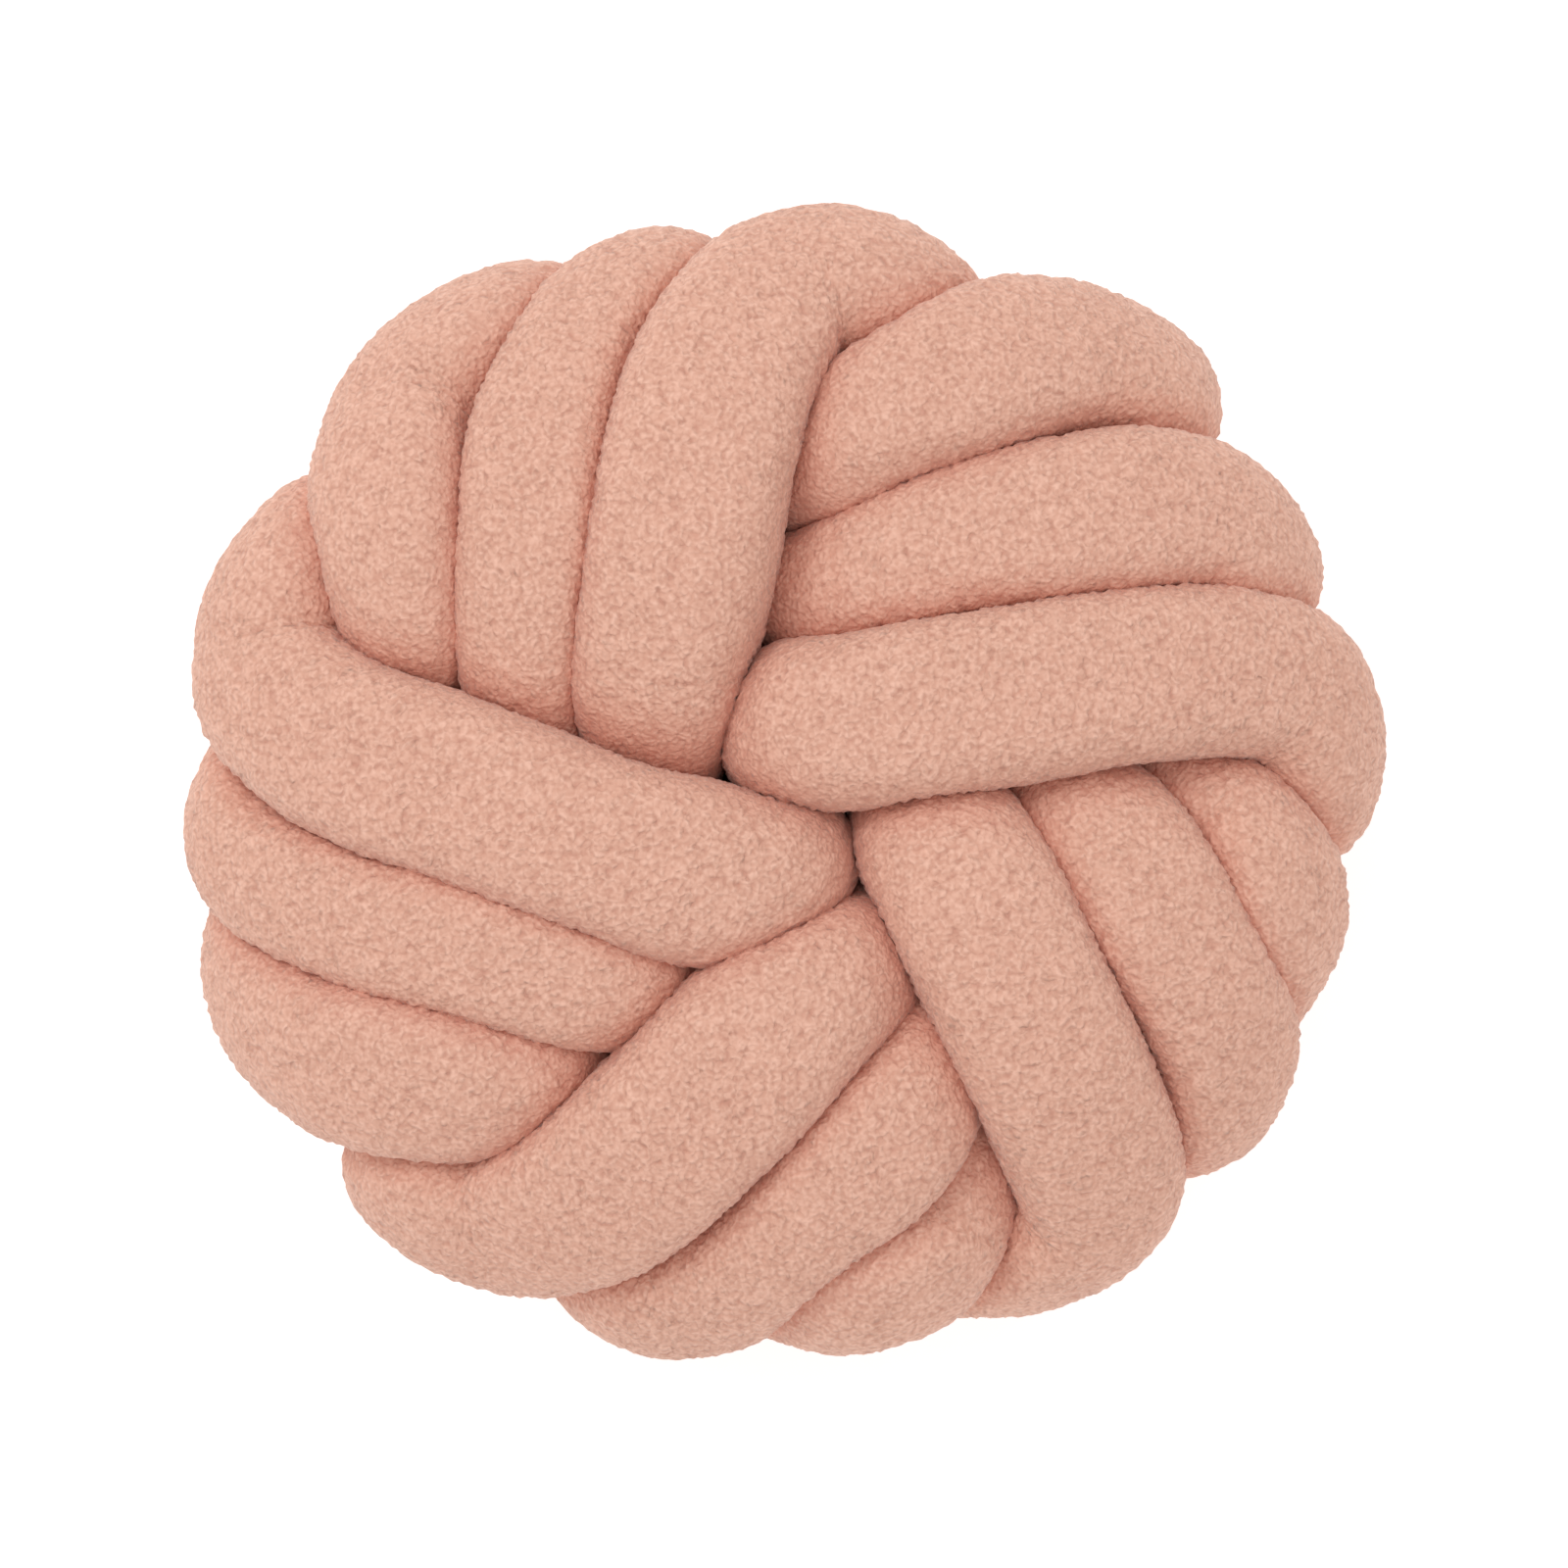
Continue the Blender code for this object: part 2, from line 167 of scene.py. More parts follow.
def shellAngle(radius, depth):
    # the other way about: the angle of a point of the shell at this distance from the middle
    ratio = min(1.0, radius / (rim - knot["layer"] * depth))
    return math.degrees(math.asin(ratio ** (knot["squareness"] / 2)))


def legPoints(leg, ply, foot, back):
    points = []
    for azimuth, angle, depth in leg[ply]:
        if angle is None:
            angle = shellAngle(knot["passOffset"][ply] / math.cos(math.radians(azimuth)), depth)
        place = shellPoint(foot + azimuth, 180 - angle if back else angle, depth)
        points.append((*place, depth, 1.0))
    return points


def frontPoints(route, ply, full):
    # lifts a pass from its plan route onto the shell
    points = []
    for index, (x, y) in enumerate(route):
        radius = math.hypot(x, y / oval) / 1000
        azimuth = math.degrees(math.atan2(x, y / oval))
        depth, least = 0.0, 0
        if index < len(comingOut):
            depth = comingOut[index]
        if index == len(route) - 1:
            least, depth = turnedDown[ply]
        angle = max(min(shellAngle(radius, depth), knot["rimAngle"]), least)
        height = shellPoint(azimuth, angle, depth)[2]
        inward = min(1.0, (rim + knot["swell"] - knot["layer"] * depth) / radius)
        points.append((x * inward / 1000, y * inward / 1000, height, depth, full))
    return points


def tubeRoute():
    # the whole tube, three times round the five groups: x, y, z, depth and fullness
    route = []
    for ply in (1, 2, 3):
        for index, group in enumerate(groupOrder):
            heading, plans = frontRoutes[group]
            foot = heading + knot["headingToFoot"]
            nextFoot = frontRoutes[groupOrder[(index + 1) % 5]][0] + knot["headingToFoot"]
            wayIn = legPoints(hiddenLeg, ply, foot, back=False)
            route += wayIn[1:] if index == 0 else wayIn    # here the tube moves over by one pass
            route += frontPoints(plans[ply], ply, fullness[group][ply - 1])
            first, second = foot + knot["backTurn"], nextFoot - knot["backTurn"]
            backFoot = first + ((second - first + 180) % 360 - 180) / 2
            route += legPoints(hiddenLeg, 4 - ply, backFoot, back=True)
            route += legPoints(shownLeg, 4 - ply, backFoot, back=True)
    lastFoot = frontRoutes[groupOrder[0]][0] + knot["headingToFoot"]
    route += legPoints(hiddenLeg, 3, lastFoot, back=False)[:4]
    return np.array(route)


def smoothCurve(rows, steps=10):
    # centripetal curve through the rows, spaced by their places
    padded = np.vstack((2 * rows[0] - rows[1], rows, 2 * rows[-1] - rows[-2]))
    curve = []
    for i in range(len(rows) - 1):
        p0, p1, p2, p3 = padded[i:i + 4]
        t1 = np.linalg.norm((p1 - p0)[:3]) ** 0.5
        t2 = t1 + np.linalg.norm((p2 - p1)[:3]) ** 0.5
        t3 = t2 + np.linalg.norm((p3 - p2)[:3]) ** 0.5
        t = t1 + (t2 - t1) * np.arange(steps)[:, None] / steps
        a1 = (t1 - t) / t1 * p0 + t / t1 * p1
        a2 = (t2 - t) / (t2 - t1) * p1 + (t - t1) / (t2 - t1) * p2
        a3 = (t3 - t) / (t3 - t2) * p2 + (t - t2) / (t3 - t2) * p3
        b1 = (t2 - t) / t2 * a1 + t / t2 * a2
        b2 = (t3 - t) / (t3 - t1) * a2 + (t - t1) / (t3 - t1) * a3
        curve.append((t2 - t) / (t2 - t1) * b1 + (t - t1) / (t2 - t1) * b2)
    return np.vstack(curve + [rows[-1:]])


def lengthsAlong(rows):
    steps = np.linalg.norm(np.diff(rows[:, :3], axis=0), axis=1)
    return np.concatenate(([0.0], np.cumsum(steps)))


def sampleAt(rows, distances):
    along = lengthsAlong(rows)
    return np.stack([np.interp(distances, along, column) for column in rows.T], axis=1)


def squeeze(depth):
    part = np.clip((depth - 0.5) / 0.5, 0, 1)
    return part * part * (3 - 2 * part)


def passRadius(rows):
    full = knot["tubeRadius"] * rows[:, 4]
    return full + (knot["hiddenRadius"] - full) * squeeze(rows[:, 3])


def keepInside(points, depth):
    # keeps a pass from standing out of the shell, and a hidden one well inside it
    goingUnder = np.clip((depth - 0.3) / 0.3, 0, 1)
    inset = knot["underInset"] * goingUnder + knot["hiddenInset"] * squeeze(depth)
    inward = inset * knot["layer"] - knot["swell"] * (1 - goingUnder)
    flat = np.hypot(points[:, 0], points[:, 1] / oval) / (rim - inward)
    up = np.abs(points[:, 2] / (crown - inward))
    power = knot["squareness"]
    return points / np.maximum((flat ** power + up ** power) ** (1 / power), 1)[:, None]


def closePairs(points, reach):
    gaps = np.linalg.norm(points[:, None] - points[None], axis=2)
    first, second = np.nonzero(np.triu(gaps < reach))
    apart = (second - first) * knot["routeStep"] > knot["ownBend"] * knot["tubeRadius"]
    return first[apart], second[apart]


def easeApart(rows):
    # gives every pass room by moving the hidden legs the most
    points, depth = rows[:, :3], rows[:, 3]
    home = points.copy()
    reach = passRadius(rows) - knot["easedOverlap"]
    looseness = np.clip((depth - 0.3) / 0.5, 0, 1)[:, None]
    freedom = knot["shownFreedom"] + (1 - knot["shownFreedom"]) * looseness
    for turn in range(knot["easings"]):
        if turn % 10 == 0:
            first, second = closePairs(points, 3 * knot["tubeRadius"])
        step = points[second] - points[first]
        gap = np.maximum(np.linalg.norm(step, axis=1), 1e-6)
        lack = np.maximum(reach[first] + reach[second] - gap, 0)
        push = step * (0.5 * lack / gap)[:, None]
        moves = np.zeros_like(points)
        counts = np.ones(len(points))
        np.add.at(moves, first, -push)
        np.add.at(moves, second, push)
        np.add.at(counts, first, lack > 0)
        np.add.at(counts, second, lack > 0)
        points = points + knot["push"] * freedom * moves / counts[:, None]
        between = 0.5 * (points[:-2] + points[2:])
        points[1:-1] += knot["straighten"] * freedom[1:-1] * (between - points[1:-1])
        points += (knot["pullHome"] - knot["pullHomeLess"] * looseness) * (home - points)
        points = keepInside(points, depth)
    return np.hstack((points, rows[:, 3:]))


def ringDistances(rows):
    along = lengthsAlong(rows)
    hidden = squeeze(rows[:, 3])
    rounding = knot["endRounding"]
    distances = [rounding * part for part in (0.0, 0.03, 0.12, 0.28, 0.5, 0.75)]
    at = rounding
    while at < along[-1] - rounding:
        distances.append(at)
        here = np.interp(at, along, hidden)
        at += knot["shownStep"] + (knot["hiddenStep"] - knot["shownStep"]) * here
    ends = [along[-1] - rounding * part for part in (1.0, 0.75, 0.5, 0.28, 0.12, 0.03, 0.0)]
    return np.array(distances + ends)


def tubeRadii(distances, line):
    fromEnd = np.minimum(distances, distances[-1] - distances)
    inward = 1 - np.clip(fromEnd / knot["endRounding"], 0.008, 1)
    return passRadius(line) * np.sqrt(1 - inward ** 2)


def sweptTube(name, line, radii):
    # a round bevelled curve made a mesh, with both ends closed
    curve = bpy.data.curves.new(name, "CURVE")
    curve.dimensions = "3D"
    curve.bevel_depth = 1.0
    curve.bevel_resolution = knot["sides"] // 2 - 2
    spline = curve.splines.new("POLY")
    spline.points.add(len(line) - 1)
    spline.points.foreach_set("co", np.hstack((line, np.ones((len(line), 1)))).ravel())
    spline.points.foreach_set("radius", radii)
    guide = bpy.data.objects.new(name + "Line", curve)
    bpy.context.scene.collection.objects.link(guide)
    bpy.context.view_layer.update()
    graph = bpy.context.evaluated_depsgraph_get()
    mesh = bpy.data.meshes.new_from_object(guide.evaluated_get(graph))
    mesh.name = name
    bpy.data.objects.remove(guide)
    bpy.data.curves.remove(curve)
    shape = bmesh.new()
    shape.from_mesh(mesh)
    bmesh.ops.holes_fill(shape, edges=[edge for edge in shape.edges if edge.is_boundary])
    bmesh.ops.recalc_face_normals(shape, faces=shape.faces)
    shape.to_mesh(mesh)
    shape.free()
    return mesh


def evened(grid):
    # takes the folds out of tight bends
    for turn in range(knot["evenings"]):
        grid = np.concatenate((grid[:1], (grid[:-2] + 2 * grid[1:-1] + grid[2:]) / 4, grid[-1:]))
        if turn < 2:
            grid = (np.roll(grid, 1, 1) + 2 * grid + np.roll(grid, -1, 1)) / 4
    return grid


def unfolded(grid, line):
    # draws the folds on the inner side of the tightest bends out along the tube
    steps = np.diff(line, axis=0)
    lengths = np.linalg.norm(steps, axis=1)[:, None]
    for turn in range(knot["unfoldings"]):
        advance = (np.diff(grid, axis=0) * steps[:, None]).sum(axis=2) / lengths ** 2
        tight = np.clip(1 - advance / knot["tightest"], 0, 1)
        share = np.maximum(tight[:-1], tight[1:])
        for spread in range(4):
            share[1:-1] = np.maximum(share[1:-1], 0.5 * (share[:-2] + share[2:]))
            share = np.maximum(share, 0.5 * (np.roll(share, 1, 1) + np.roll(share, -1, 1)))
        middle = 0.5 * (grid[:-2] + grid[2:])
        grid[1:-1] += 0.8 * share[:, :, None] * (middle - grid[1:-1])
    return grid


def fillShoulders(rings, line):
    # packed side by side the tube swells into the furrows on its face and back
    flat = np.hypot(line[:, 0], line[:, 1] / oval)
    power = knot["squareness"] - 1
    outward = np.stack((line[:, 0] / flat * (flat / rim) ** power / rim,
                        line[:, 1] / flat * (flat / rim) ** power / rim,
                        np.sign(line[:, 2]) * np.abs(line[:, 2] / crown) ** power / crown), axis=1)
    outward /= np.linalg.norm(outward, axis=1)[:, None]
    spokes = rings - line[:, None]
    reach = np.linalg.norm(spokes, axis=2)
    rise = np.abs((spokes * outward[:, None]).sum(axis=2)) / reach
    side = np.sqrt(np.maximum(1 - rise ** 2, 0))
    swell = (rise ** knot["packed"] + side ** knot["packed"]) ** (-1 / knot["packed"])
    # nothing presses on the outer side of the rim, where the tube stays round
    radial = line[:, :2] / np.hypot(line[:, 0], line[:, 1])[:, None]
    facingOut = np.maximum((spokes[:, :, :2] * radial[:, None]).sum(axis=2) / reach, 0)
    atRim = np.clip((flat / rim - knot["rimStarts"]) / (1 - knot["rimStarts"]), 0, 1)[:, None]
    swell = 1 + (swell - 1) * (1 - atRim * facingOut)
    return line[:, None] + spokes * swell[:, :, None]


def pressTogether(rings, distances, radii, line, rows):
    # draws each ring in to the planes midway to the passes round it, and tells how far each
    # point lies down between the passes, which sets where the crease shade is painted
    along = lengthsAlong(rows)
    rowRadii = passRadius(rows)
    kept = np.ones(rings.shape[:2])
    creaseShade = np.zeros(rings.shape[:2])
    radius = knot["tubeRadius"]
    corner = knot["pressCorner"]
    for index, (centre, own) in enumerate(zip(line, radii)):
        step = rows[:, :3] - centre
        gap = np.linalg.norm(step, axis=1)
        away = np.abs(along - distances[index]) / radius
        near = (gap < knot["pressReach"] * radius) & (away > knot["pressFrom"])
        if not near.any():
            continue
        toward = step[near] / gap[near, None]
        middle = (gap[near] ** 2 + own ** 2 - rowRadii[near] ** 2) / (2 * gap[near])
        middle = np.maximum(middle - knot["contactGap"] / 2, knot["leastWidth"])
        # not across its own bends
        middle /= np.clip((away[near] - knot["pressFrom"]) / knot["pressFades"], 0.02, 1)
        spokes = rings[index] - centre
        reach = np.linalg.norm(spokes, axis=1)
        facing = np.maximum((spokes / reach[:, None]) @ toward.T, 1e-4)
        limit = (middle / facing).min(axis=1)
        kept[index] = (1 + (reach / limit) ** corner) ** (-1 / corner)
        creaseShade[index] = np.clip(1 - (limit / (reach * kept[index]) - 1) / knot["creaseShade"], 0, 1)
    # evened out a little, along the tube and round it, so that no nick is left
    for turn in range(knot["nickRounds"]):
        kept[1:-1] = np.minimum(kept[1:-1], 0.25 * kept[:-2] + 0.5 * kept[1:-1] + 0.25 * kept[2:])
        kept = 0.25 * np.roll(kept, 1, 1) + 0.5 * kept + 0.25 * np.roll(kept, -1, 1)
    centres = line[:, None]
    rings = centres + (rings - centres) * kept[:, :, None]
    smooth = evened(rings)
    smooth += evened(rings - smooth)           # gives back what the first round shrank
    return unfolded(smooth, line), evened(creaseShade)


print("knot: route")
rows = smoothCurve(tubeRoute())
total = lengthsAlong(rows)[-1]
rows = sampleAt(rows, np.linspace(0, total, int(round(total / knot["routeStep"])) + 1))
rows = easeApart(rows)

distances = ringDistances(rows)
line = sampleAt(rows, distances)
radii = tubeRadii(distances, line)
line = line[:, :3]
cageMesh = sweptTube("knotCage", line, radii)

places = np.empty(len(cageMesh.vertices) * 3)
cageMesh.vertices.foreach_get("co", places)
rings = places.reshape(len(line), -1, 3)
rings, creaseShade = pressTogether(fillShoulders(rings, line), distances, radii, line, rows)
surface = rings[:, :, 2].min() + knot["flattened"]
rings[:, :, 2] = np.maximum(rings[:, :, 2] - surface, 0)     # the lowest passes lie flat
rings[:, :, :2] -= (rings.max(axis=(0, 1)) + rings.min(axis=(0, 1)))[:2] / 2
cageMesh.vertices.foreach_set("co", rings.reshape(-1))
# how far each point lies down between the passes, for the painted crease shade
cageMesh.attributes.new("creaseShade", "FLOAT", "POINT").data.foreach_set(
    "value", creaseShade.astype(np.float32).ravel())
cageMesh.update()
print("knot: cage of", len(line), "rings,", round(float(distances[-1]), 2), "m of tube")

# the tube unrolled into strips side by side, so that a painted finish keeps one scale
stripCount = 7
stripMargin = 0.03            # of a strip's height, left free on each side
stripLength = distances[-1] / stripCount
loopVerts = np.empty(len(cageMesh.loops), dtype=np.int64)
cageMesh.loops.foreach_get("vertex_index", loopVerts)
faceStarts = np.empty(len(cageMesh.polygons), dtype=np.int64)
cageMesh.polygons.foreach_get("loop_start", faceStarts)
faceTotals = np.empty(len(cageMesh.polygons), dtype=np.int64)
cageMesh.polygons.foreach_get("loop_total", faceTotals)
ringOf = loopVerts // knot["sides"]
sideOf = (loopVerts % knot["sides"]).astype(float)
faceOf = np.repeat(np.arange(len(faceStarts)), faceTotals)
firstRing = np.minimum.reduceat(ringOf, faceStarts)[faceOf]
lowestSide = np.minimum.reduceat(sideOf, faceStarts)[faceOf]
highestSide = np.maximum.reduceat(sideOf, faceStarts)[faceOf]
wraps = (lowestSide == 0) & (highestSide == knot["sides"] - 1) & (sideOf == 0)
sideOf[wraps] = knot["sides"]
stripOf = np.minimum(distances[firstRing] // stripLength, stripCount - 1)
strips = np.empty((len(loopVerts), 2), dtype=np.float32)
strips[:, 0] = 0.004 + 0.985 * (distances[ringOf] - stripOf * stripLength) / stripLength
strips[:, 1] = (stripOf + stripMargin + (1 - 2 * stripMargin) * sideOf / knot["sides"]) / stripCount
uvMap = cageMesh.uv_layers.new(name="OFBake")
uvMap.uv.foreach_set("vector", strips.ravel())

cage = bpy.data.objects.new("knotCage", cageMesh)
bpy.context.scene.collection.objects.link(cage)
finer = cage.modifiers.new("finer", "SUBSURF")
finer.levels = 1
finer.render_levels = 1
graph = bpy.context.evaluated_depsgraph_get()
fleeceMesh = bpy.data.meshes.new_from_object(cage.evaluated_get(graph))
bpy.data.objects.remove(cage)
bpy.data.meshes.remove(cageMesh)

pile = {
    "curl": 0.0034,           # spacing of the curls
    "height": 0.0011,         # from the ground of the pile to the top of a curl
    "fine": 0.0015,           # spacing of the smaller locks on them
    "fineHeight": 0.00025,
    "lump": 0.021,            # soft unevenness of the stuffing
    "lumpHeight": 0.0007,
    "sunk": 0.4,              # share of that height below the stuffed shape
    "seed": 7,
}


def scrambled(cells, seed):
    # three even random numbers from 0 to 1 for each whole-numbered cell
    mixed = cells.astype(np.int64) & 0x3FFFFF
    key = (mixed[..., 0] * 73856093) ^ (mixed[..., 1] * 19349663) ^ (mixed[..., 2] * 83492791)
    key = (key + seed * 2654435761) & 0xFFFFFFFF
    out = []
    for turn in range(3):
        key = ((key ^ (key >> 15)) * 2246822519) & 0xFFFFFFFF
        key = ((key ^ (key >> 13)) * 3266489917) & 0xFFFFFFFF
        out.append((key ^ (key >> 16)).astype(np.float64) / 4294967296)
    return np.stack(out, axis=-1)


def tufts(points, spacing, seed):
    # 1 in the middle of a tuft, falling to 0 halfway to its neighbours
    scaled = points / spacing
    cells = np.floor(scaled)
    nearest = np.full(len(points), 9.0)
    second = np.full(len(points), 9.0)
    for dx in (-1, 0, 1):
        for dy in (-1, 0, 1):
            for dz in (-1, 0, 1):
                corner = cells + (dx, dy, dz)
                gap = ((corner + scrambled(corner, seed) - scaled) ** 2).sum(axis=1)
                second = np.minimum(second, np.maximum(nearest, gap))
                nearest = np.minimum(nearest, gap)
    return np.clip((np.sqrt(second) - np.sqrt(nearest)) / 0.55, 0, 1)


def softNoise(points, spacing, seed):
    # smooth random numbers from -1 to 1
    scaled = points / spacing
    cells = np.floor(scaled)
    part = scaled - cells
    part = part * part * (3 - 2 * part)
    value = np.zeros(len(points))
    for dx in (0, 1):
        for dy in (0, 1):
            for dz in (0, 1):
                share = ((part[:, 0] if dx else 1 - part[:, 0])
                         * (part[:, 1] if dy else 1 - part[:, 1])
                         * (part[:, 2] if dz else 1 - part[:, 2]))
                value += share * scrambled(cells + (dx, dy, dz), seed)[:, 0]
    return 2 * value - 1


def raisePile(mesh):
    count = len(mesh.vertices)
    points = np.empty(count * 3)
    mesh.vertices.foreach_get("co", points)
    points = points.reshape(-1, 3)
    normals = np.empty(count * 3)
    mesh.vertex_normals.foreach_get("vector", normals)
    normals = normals.reshape(-1, 3)
    curls = tufts(points, pile["curl"], pile["seed"])
    curls = curls * (2 - curls)
    fine = tufts(points, pile["fine"], pile["seed"] + 1)
    lumps = softNoise(points, pile["lump"], pile["seed"] + 2)
    rise = pile["height"] * curls + pile["fineHeight"] * fine + pile["lumpHeight"] * lumps
    points = points + normals * (rise - pile["sunk"] * pile["height"])[:, None]
    points[:, 2] = np.maximum(points[:, 2], 0)
    mesh.vertices.foreach_set("co", points.reshape(-1))
    # the heights of the curls, which the material paints lighter on their tops
    tops = mesh.attributes.new("curlTop", "FLOAT", "POINT")
    tops.data.foreach_set("value", (0.75 * curls + 0.25 * fine).astype(np.float32))
    mesh.update()
    mesh.shade_smooth()


raisePile(fleeceMesh)
fleeceMesh.name = "knotFleece"
knotCushion = bpy.data.objects.new("stuffed_tube", fleeceMesh)
bpy.context.scene.collection.objects.link(knotCushion)
print("knot: pile on", len(fleeceMesh.polygons), "faces")

fleece = {
    "gap": (0.655, 0.325, 0.24),       # painted shade between the curls, linear colours
    "curl": (0.755, 0.415, 0.308),
    # painted light on the curl tops
    "tipLight": (0.905, 0.54, 0.417),
    "creaseShade": (0.70, 0.32, 0.24),      # painted shade down between the passes, darker and redder than the curls
    "driftScale": 300.0,      # per metre, like the scales below
    "warp": 0.0016,           # how far the curls are pushed about, metres
    "curlScale": 540.0,
    "threadScale": 760.0,
    "patchScale": 60.0,
    "curlShare": -0.8,        # how much each adds to the height of a point in the pile
    "threadShare": 0.9,
    "ground": 0.17,
    "patchShare": 0.12,       # and to its lightness
    "ownShade": 0.15,         # a curl's own shade
    # painted light on the curl tops raised in the mesh
    "topLightShare": 0.12,
    "creaseShadePower": 1.6,
    "creaseShadeFull": 1.3,        # how strongly the painted crease shade shows,
    "creaseShadeOnTips": -1.1,     # and how much less where the pile is light
    "bump": 0.0006,
    "bumpStrength": 0.9,
    "roughness": 0.92,
    "specular": 0.15,
    "sheen": 0.35,
    "sheenRoughness": 0.45,
    "sheenTint": (1.0, 0.86, 0.78),
}


def addNode(tree, kind, place, **inputs):
    node = tree.nodes.new(kind)
    node.location = place
    for name, value in inputs.items():
        node.inputs[name].default_value = value
    return node


def weighted(tree, place, first, share, rest):
    # first * share + rest
    node = addNode(tree, "ShaderNodeMath", place)
    node.operation = "MULTIPLY_ADD"
    tree.links.new(first, node.inputs[0])
    node.inputs[1].default_value = share
    if isinstance(rest, float):
        node.inputs[2].default_value = rest
    else:
        tree.links.new(rest, node.inputs[2])
    return node.outputs[0]


def curlyFleece():
    material = bpy.data.materials.new("curlyFleece")
    material.use_nodes = True
    tree = material.node_tree
    link = tree.links.new
    shader = tree.nodes["Principled BSDF"]
    coords = addNode(tree, "ShaderNodeTexCoord", (-1500, 0)).outputs["Object"]

    # coordinates pushed about, so that the curls wind
    drift = addNode(tree, "ShaderNodeTexNoise", (-1300, 200), Scale=fleece["driftScale"],
                    Detail=1.0)
    link(coords, drift.inputs["Vector"])
    centred = addNode(tree, "ShaderNodeVectorMath", (-1120, 200))
    centred.operation = "SUBTRACT"
    centred.inputs[1].default_value = (0.5, 0.5, 0.5)
    link(drift.outputs["Color"], centred.inputs[0])
    wound = addNode(tree, "ShaderNodeVectorMath", (-940, 100))
    wound.operation = "MULTIPLY_ADD"
    wound.inputs[1].default_value = (fleece["warp"],) * 3
    link(centred.outputs[0], wound.inputs[0])
    link(coords, wound.inputs[2])

    # curls, the finer threads over them, and the curl tops raised in the mesh
    curls = addNode(tree, "ShaderNodeTexVoronoi", (-700, 300), Scale=fleece["curlScale"])
    link(wound.outputs[0], curls.inputs["Vector"])
    squared = addNode(tree, "ShaderNodeMath", (-590, 300))
    squared.operation = "MULTIPLY"
    link(curls.outputs["Distance"], squared.inputs[0])
    link(curls.outputs["Distance"], squared.inputs[1])
    threads = addNode(tree, "ShaderNodeTexNoise", (-700, 0), Scale=fleece["threadScale"],
                      Detail=0.0)
    link(wound.outputs[0], threads.inputs["Vector"])
    patches = addNode(tree, "ShaderNodeTexNoise", (-700, -300), Scale=fleece["patchScale"],
                      Detail=1.0)
    link(coords, patches.inputs["Vector"])
    tops = addNode(tree, "ShaderNodeAttribute", (-700, -550))
    tops.attribute_name = "curlTop"

    # how high in the pile a point is
    high = weighted(tree, (-480, 300), squared.outputs[0], fleece["curlShare"], fleece["ground"])
    high = weighted(tree, (-300, 200), threads.outputs["Fac"], fleece["threadShare"], high)
    level = weighted(tree, (-120, 100), patches.outputs["Fac"], fleece["patchShare"], high)
    level = weighted(tree, (0, 50), curls.outputs["Color"], fleece["ownShade"], level)
    level = weighted(tree, (60, 0), tops.outputs["Fac"], fleece["topLightShare"], level)

    # the colour of the pile: painted shade low between the curls and painted light on their tops,
    # with random tone from the patches and each curl
    pileShadeAndLight = addNode(tree, "ShaderNodeValToRGB", (240, 200))
    pileShadeAndLight.color_ramp.elements[0].position = 0.0
    pileShadeAndLight.color_ramp.elements[0].color = (*fleece["gap"], 1)
    pileShadeAndLight.color_ramp.elements[1].position = 1.0
    pileShadeAndLight.color_ramp.elements[1].color = (*fleece["tipLight"], 1)
    middle = pileShadeAndLight.color_ramp.elements.new(0.5)
    middle.color = (*fleece["curl"], 1)
    link(level, pileShadeAndLight.inputs["Fac"])
    # painted crease shade: a darker, redder colour mixed in down between the passes, less on the
    # light pile
    down = addNode(tree, "ShaderNodeAttribute", (240, 450))
    down.attribute_name = "creaseShade"
    deeper = addNode(tree, "ShaderNodeMath", (420, 450))
    deeper.operation = "POWER"
    link(down.outputs["Fac"], deeper.inputs[0])
    deeper.inputs[1].default_value = fleece["creaseShadePower"]
    between = addNode(tree, "ShaderNodeMath", (510, 450))
    between.operation = "MULTIPLY"
    between.use_clamp = True
    link(deeper.outputs[0], between.inputs[0])
    strength = weighted(tree, (420, 600), level, fleece["creaseShadeOnTips"], fleece["creaseShadeFull"])
    link(strength, between.inputs[1])
    tint = addNode(tree, "ShaderNodeMix", (600, 300))
    tint.data_type = "RGBA"
    link(between.outputs[0], tint.inputs["Factor"])
    link(pileShadeAndLight.outputs["Color"], tint.inputs["A"])
    tint.inputs["B"].default_value = (*fleece["creaseShade"], 1)
    link(tint.outputs["Result"], shader.inputs["Base Color"])

    bump = addNode(tree, "ShaderNodeBump", (300, -200), Strength=fleece["bumpStrength"],
                   Distance=fleece["bump"])
    link(high, bump.inputs["Height"])
    link(bump.outputs["Normal"], shader.inputs["Normal"])

    shader.inputs["Roughness"].default_value = fleece["roughness"]
    shader.inputs["Specular IOR Level"].default_value = fleece["specular"]
    shader.inputs["Sheen Weight"].default_value = fleece["sheen"]
    shader.inputs["Sheen Roughness"].default_value = fleece["sheenRoughness"]
    shader.inputs["Sheen Tint"].default_value = (*fleece["sheenTint"], 1)
    return material


knotCushion.data.materials.clear()
knotCushion.data.materials.append(curlyFleece())
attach(knotCushion, "root")
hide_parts("knot_cushion")

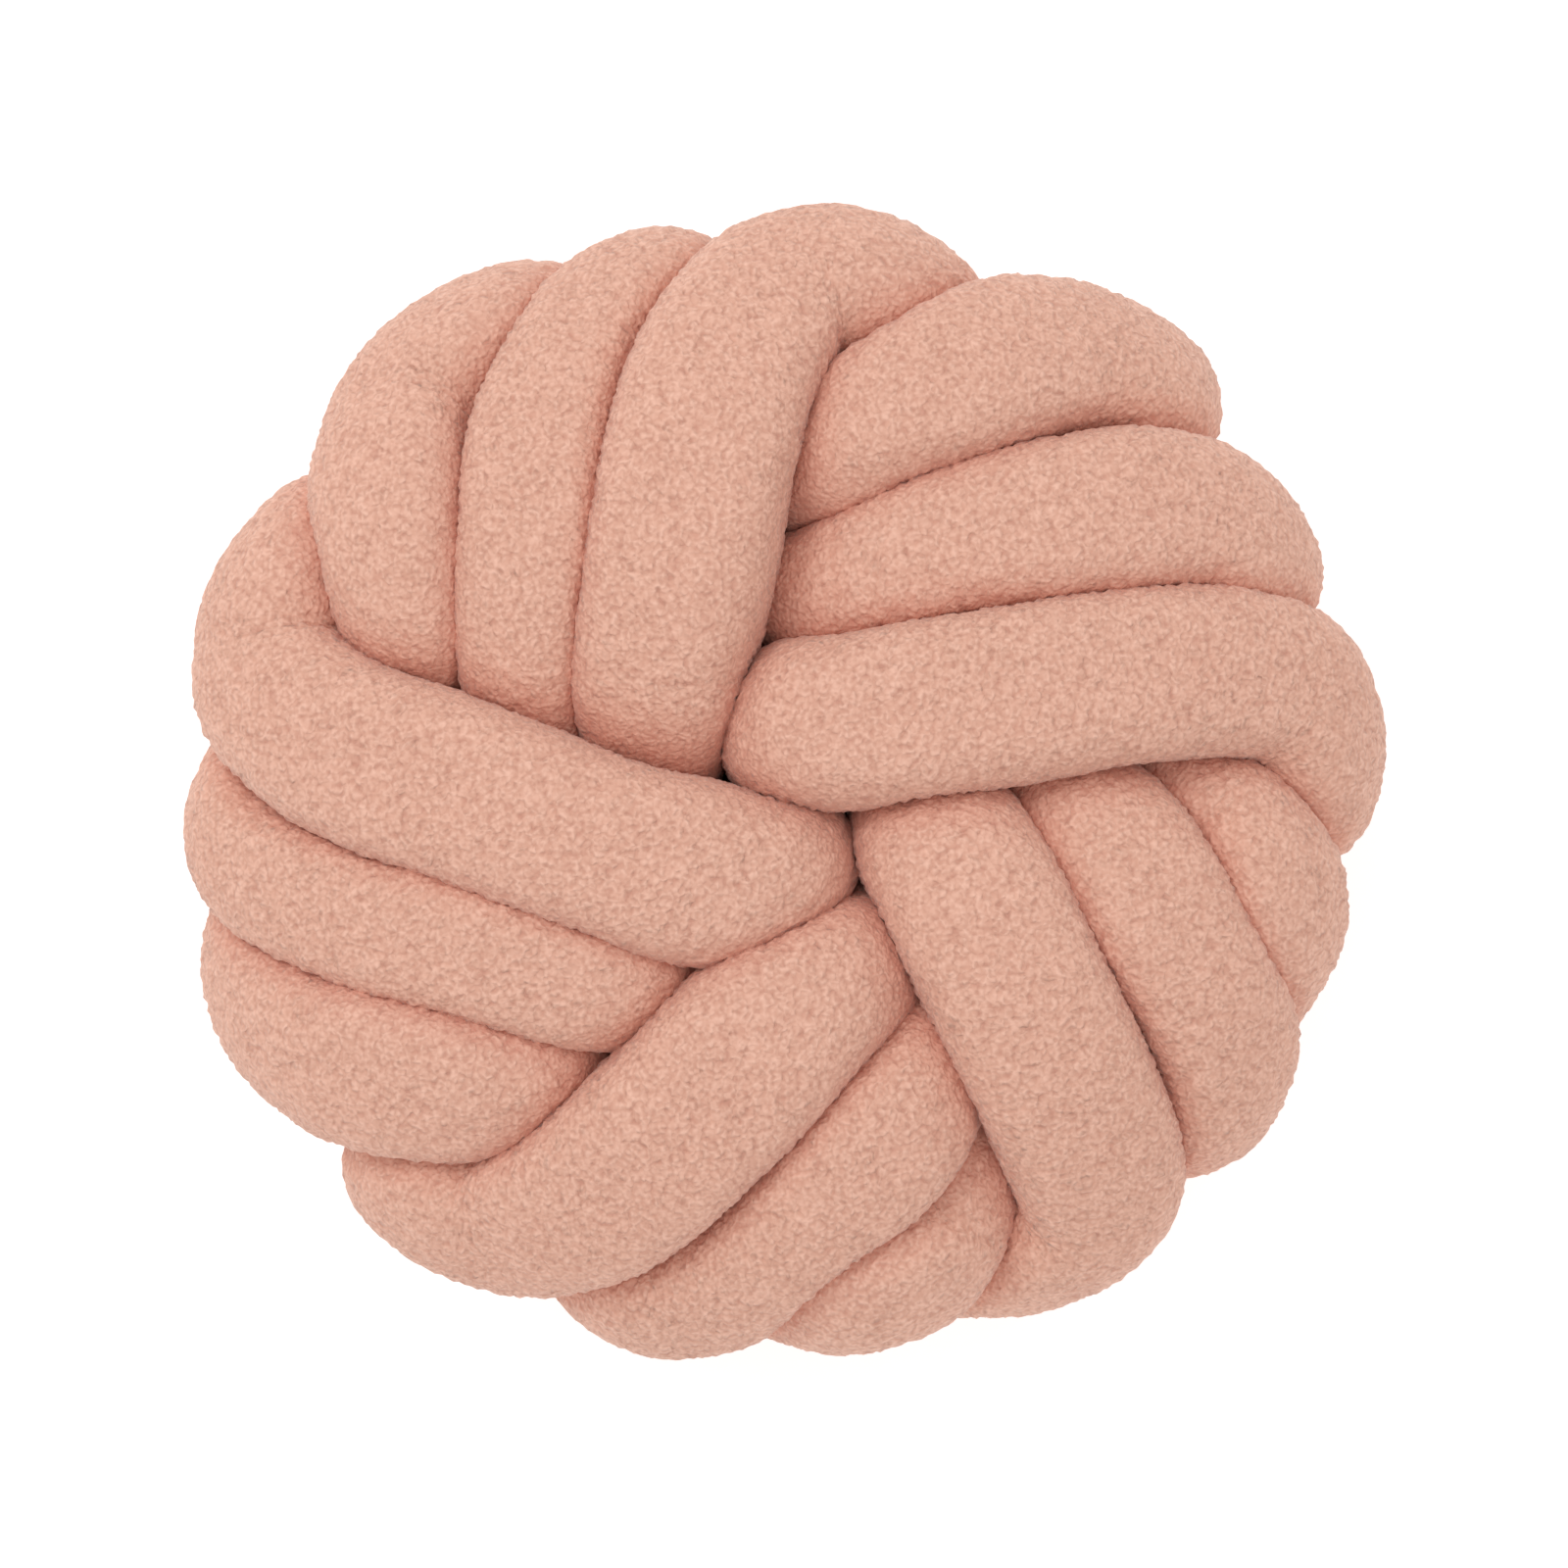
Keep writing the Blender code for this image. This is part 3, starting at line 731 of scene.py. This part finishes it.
studio = {
    "floorSize": 6.0,
    "floorColour": (0.93, 0.93, 0.93),
    "floorGlow": 0.40,
    "sky": 0.70,
    "key": 13.0,              # watts, large and soft, from the upper left
    "keySize": 1.3,
    "keyFrom": (-0.9, 1.0, 1.9),
    "fill": 5.5,              # near the camera
    "fillSize": 1.6,
    "fillFrom": (0.5, -0.5, 2.2),
}


def lookFrom(thing, place, target):
    thing.location = place
    aim = Vector(target) - Vector(place)
    thing.rotation_euler = aim.to_track_quat("-Z", "Y").to_euler()


shape = bmesh.new()
bmesh.ops.create_grid(shape, x_segments=1, y_segments=1, size=studio["floorSize"] / 2)
floorMesh = bpy.data.meshes.new("floor")
shape.to_mesh(floorMesh)
shape.free()
floor = bpy.data.objects.new("floor", floorMesh)
bpy.context.scene.collection.objects.link(floor)
paleFloor = bpy.data.materials.new("paleFloor")
paleFloor.use_nodes = True
floorShader = paleFloor.node_tree.nodes["Principled BSDF"]
floorShader.inputs["Base Color"].default_value = (*studio["floorColour"], 1)
floorShader.inputs["Roughness"].default_value = 0.9
floorShader.inputs["Specular IOR Level"].default_value = 0.1
floorShader.inputs["Emission Color"].default_value = (1, 1, 1, 1)
floorShader.inputs["Emission Strength"].default_value = studio["floorGlow"]
floorMesh.materials.append(paleFloor)

world = bpy.data.worlds.new("studio")
bpy.context.scene.world = world
world.use_nodes = True
world.node_tree.nodes["Background"].inputs["Color"].default_value = (1, 1, 1, 1)
world.node_tree.nodes["Background"].inputs["Strength"].default_value = studio["sky"]
for name in ("key", "fill"):
    light = bpy.data.lights.new(name, "AREA")
    light.size = studio[name + "Size"]
    light.energy = studio[name]
    lamp = bpy.data.objects.new(name, light)
    bpy.context.scene.collection.objects.link(lamp)
    lookFrom(lamp, studio[name + "From"], (0, 0, 0.1))

camera = {
    "place": (0.0, 0.0, 2.09),
    "angle": 13.84,           # degrees across the whole frame
}
cameraData = bpy.data.cameras.new("camera")
cameraData.angle = math.radians(camera["angle"])
cameraObject = bpy.data.objects.new("camera", cameraData)
cameraObject.location = camera["place"]
bpy.context.scene.collection.objects.link(cameraObject)
bpy.context.scene.camera = cameraObject
bpy.context.scene.view_settings.view_transform = "Standard"
print("studio: floor, lights and camera")

bpy.context.view_layer.update()
